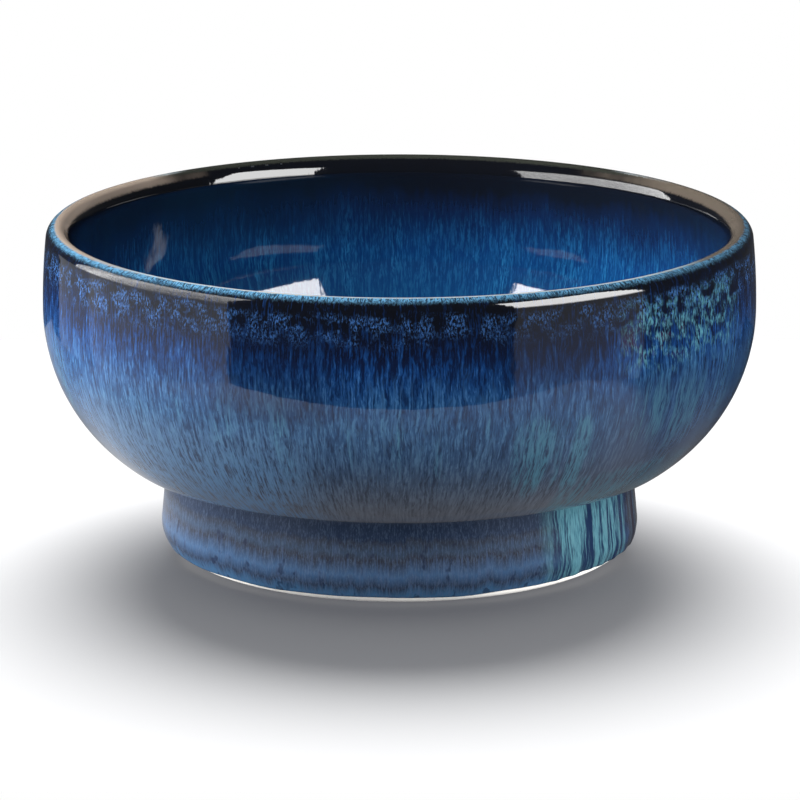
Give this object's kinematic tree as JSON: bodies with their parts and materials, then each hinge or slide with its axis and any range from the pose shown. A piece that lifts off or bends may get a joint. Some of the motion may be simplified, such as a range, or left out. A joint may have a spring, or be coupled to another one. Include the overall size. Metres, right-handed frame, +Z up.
{
  "type": "footed bowl",
  "caption": "Wide open stoneware bowl on a hollow pedestal foot, with a rounded lip and a streaked blue glaze over all but the ring it stands on.",
  "frame": {"origin": "centre of the ring that the foot stands on, in the plane of the table", "axes": "+Z up along the bowl's turning axis; the bowl is round, so +X is any direction"},
  "size_m": [0.21, 0.21, 0.098],
  "materials": {
    "fired_clay": "unglazed off-white stoneware, dry and slightly gritty",
    "inside_glaze": "glossy streaked blue glaze, near-black under the rim",
    "lip_glaze": "thin glossy glaze that breaks from black to beige on the crest of the lip",
    "outside_glaze": "glossy running blue glaze, black band under the rim and pale blue streaks below",
    "foot_glaze": "glossy grey-blue glaze with pale turquoise runs",
    "foot_well_glaze": "glossy dark blue glaze with fine mottling"
  },
  "bodies": {
    "root": {"bowl_body": "fired_clay", "foot_ring": "fired_clay", "luting_slip": "fired_clay", "inside_glaze": "inside_glaze", "lip_glaze": "lip_glaze", "outside_glaze": "outside_glaze", "foot_glaze": "foot_glaze", "foot_well_glaze": "foot_well_glaze"}
  },
  "joints": []
}
